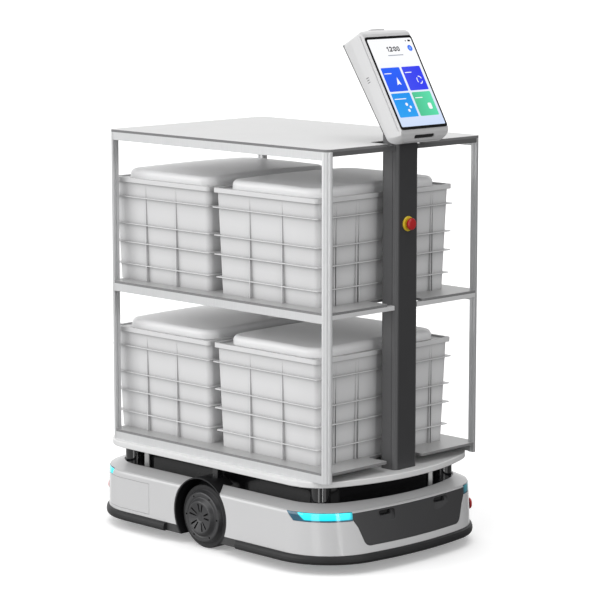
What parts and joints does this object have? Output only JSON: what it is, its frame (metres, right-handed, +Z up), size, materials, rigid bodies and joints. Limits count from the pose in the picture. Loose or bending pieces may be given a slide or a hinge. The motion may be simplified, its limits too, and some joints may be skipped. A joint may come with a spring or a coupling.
{
  "type": "autonomous mobile robot",
  "caption": "Autonomous mobile delivery robot: wheeled drive base, open rack with lidded crates, and a front column carrying a tilted touch screen.",
  "frame": {"origin": "on the floor, at the centre of the robot's bounding box in plan", "axes": "+Z up; -Y is the front, the way the screen faces; +X completes a right-handed frame"},
  "size_m": [0.682, 1.036, 1.424],
  "materials": {
    "shell_paint": "satin",
    "charcoal": "satin",
    "lens_black": "glossy",
    "light_cyan": "translucent, lit",
    "dark_plastic": "matte",
    "bumper_rubber": "matte",
    "black_plastic": "satin",
    "cover_black": "glossy",
    "frame_steel": "powder coated",
    "deck_white": "satin painted",
    "battery": "satin",
    "alloy": "satin anodised",
    "motor": "satin",
    "tyre": "matte",
    "wheel_grey": "satin",
    "zinc": "bright zinc",
    "caster_tread": "satin",
    "plate_grey": "satin painted",
    "stop_yellow": "glossy",
    "stop_red": "glossy",
    "screen_glass": "gloss black border, lit",
    "crate_plastic": "satin"
  },
  "bodies": {
    "base": {"front_shell": "shell_paint", "rear_shell": "shell_paint", "rear_panel": "shell_paint", "front_panel": "charcoal", "front_sensors": "lens_black", "corner_lights": "light_cyan", "front_skirt": "dark_plastic", "rear_skirt": "dark_plastic", "front_bumper": "bumper_rubber", "rear_bumper": "bumper_rubber", "arch_liner_left": "black_plastic", "arch_liner_right": "black_plastic", "recess_cover": "cover_black", "chassis_frame": "frame_steel", "deck_pillars": "black_plastic", "deck_plate": "deck_white", "battery_pack": "battery", "control_box": "alloy", "core_housing": "cover_black", "drive_motor_left": "motor", "drive_motor_right": "motor", "caster_plates": "zinc", "shelf_posts": "alloy", "side_rails": "alloy", "cross_rails": "alloy", "top_shelf": "plate_grey", "mid_shelf": "plate_grey", "bottom_shelf": "plate_grey", "column": "charcoal", "estop_collars": "stop_yellow", "head_housing": "shell_paint", "head_back_cover": "charcoal", "screen_panel": "screen_glass", "scanner_window": "lens_black"},
    "drive_wheel_left": {"tyre_left": "tyre", "rim_left": "wheel_grey", "hub_cap_left": "wheel_grey"},
    "drive_wheel_right": {"tyre_right": "tyre", "rim_right": "wheel_grey", "hub_cap_right": "wheel_grey"},
    "caster_swivel_fl": {"caster_fork_fl": "zinc"},
    "caster_roll_fl": {"caster_wheel_fl": "caster_tread"},
    "caster_swivel_fr": {"caster_fork_fr": "zinc"},
    "caster_roll_fr": {"caster_wheel_fr": "caster_tread"},
    "caster_swivel_rl": {"caster_fork_rl": "zinc"},
    "caster_roll_rl": {"caster_wheel_rl": "caster_tread"},
    "caster_swivel_rr": {"caster_fork_rr": "zinc"},
    "caster_roll_rr": {"caster_wheel_rr": "caster_tread"},
    "stop_column": {"estop_button_column": "stop_red"},
    "stop_front": {"estop_button_front": "stop_red"},
    "stop_rear": {"estop_button_rear": "stop_red"},
    "button_top": {"top_button": "shell_paint"},
    "box_upper_front": {"crate_upper_front": "crate_plastic"},
    "cover_upper_front": {"lid_upper_front": "crate_plastic"},
    "box_upper_rear": {"crate_upper_rear": "crate_plastic"},
    "cover_upper_rear": {"lid_upper_rear": "crate_plastic"},
    "box_lower_front": {"crate_lower_front": "crate_plastic"},
    "cover_lower_front": {"lid_lower_front": "crate_plastic"},
    "box_lower_rear": {"crate_lower_rear": "crate_plastic"},
    "cover_lower_rear": {"lid_lower_rear": "crate_plastic"}
  },
  "joints": [
    {"name": "drive_left", "type": "hinge", "parent": "base", "child": "drive_wheel_left", "pos_m": [-0.289, 0.006, 0.0885], "axis": [1, 0, 0], "continuous": true},
    {"name": "drive_right", "type": "hinge", "parent": "base", "child": "drive_wheel_right", "pos_m": [0.289, 0.006, 0.0885], "axis": [1, 0, 0], "continuous": true},
    {"name": "swivel_fl", "type": "hinge", "parent": "base", "child": "caster_swivel_fl", "pos_m": [-0.19, -0.35, 0.11], "axis": [0, 0, 1], "continuous": true},
    {"name": "roll_fl", "type": "hinge", "parent": "caster_swivel_fl", "child": "caster_roll_fl", "pos_m": [-0.19, -0.318, 0.045], "axis": [1, 0, 0], "continuous": true},
    {"name": "swivel_fr", "type": "hinge", "parent": "base", "child": "caster_swivel_fr", "pos_m": [0.19, -0.35, 0.11], "axis": [0, 0, 1], "continuous": true},
    {"name": "roll_fr", "type": "hinge", "parent": "caster_swivel_fr", "child": "caster_roll_fr", "pos_m": [0.19, -0.318, 0.045], "axis": [1, 0, 0], "continuous": true},
    {"name": "swivel_rl", "type": "hinge", "parent": "base", "child": "caster_swivel_rl", "pos_m": [-0.19, 0.35, 0.11], "axis": [0, 0, 1], "continuous": true},
    {"name": "roll_rl", "type": "hinge", "parent": "caster_swivel_rl", "child": "caster_roll_rl", "pos_m": [-0.19, 0.382, 0.045], "axis": [1, 0, 0], "continuous": true},
    {"name": "swivel_rr", "type": "hinge", "parent": "base", "child": "caster_swivel_rr", "pos_m": [0.19, 0.35, 0.11], "axis": [0, 0, 1], "continuous": true},
    {"name": "roll_rr", "type": "hinge", "parent": "caster_swivel_rr", "child": "caster_roll_rr", "pos_m": [0.19, 0.382, 0.045], "axis": [1, 0, 0], "continuous": true},
    {"name": "press_column_stop", "type": "slide", "parent": "base", "child": "stop_column", "axis": [0, 1, 0], "range_m": [0, 0.004], "stiffness_N_per_m": 3000, "springref_m": -0.001},
    {"name": "press_front_stop", "type": "slide", "parent": "base", "child": "stop_front", "axis": [-0.8829, 0.4695, 0], "range_m": [0, 0.0035], "stiffness_N_per_m": 3000, "springref_m": -0.001},
    {"name": "press_rear_stop", "type": "slide", "parent": "base", "child": "stop_rear", "axis": [0.4067, -0.9135, 0], "range_m": [0, 0.0035], "stiffness_N_per_m": 3000, "springref_m": -0.001},
    {"name": "press_top_button", "type": "slide", "parent": "base", "child": "button_top", "axis": [0, -0.503, -0.8643], "range_m": [0, 0.0015], "stiffness_N_per_m": 3000, "springref_m": -0.001},
    {"name": "slide_upper_front", "type": "slide", "parent": "base", "child": "box_upper_front", "axis": [-1, 0, 0], "range_m": [0, 0.35]},
    {"name": "slide_lower_front", "type": "slide", "parent": "base", "child": "box_lower_front", "axis": [-1, 0, 0], "range_m": [0, 0.35]},
    {"name": "slide_upper_rear", "type": "slide", "parent": "base", "child": "box_upper_rear", "axis": [0, 1, 0], "range_m": [0, 0.3]},
    {"name": "slide_lower_rear", "type": "slide", "parent": "base", "child": "box_lower_rear", "axis": [0, 1, 0], "range_m": [0, 0.3]},
    {"name": "lift_upper_front", "type": "slide", "parent": "box_upper_front", "child": "cover_upper_front", "axis": [0, 0, 1], "range_m": [0, 0.06]},
    {"name": "lift_upper_rear", "type": "slide", "parent": "box_upper_rear", "child": "cover_upper_rear", "axis": [0, 0, 1], "range_m": [0, 0.06]},
    {"name": "lift_lower_front", "type": "slide", "parent": "box_lower_front", "child": "cover_lower_front", "axis": [0, 0, 1], "range_m": [0, 0.06]},
    {"name": "lift_lower_rear", "type": "slide", "parent": "box_lower_rear", "child": "cover_lower_rear", "axis": [0, 0, 1], "range_m": [0, 0.06]}
  ]
}
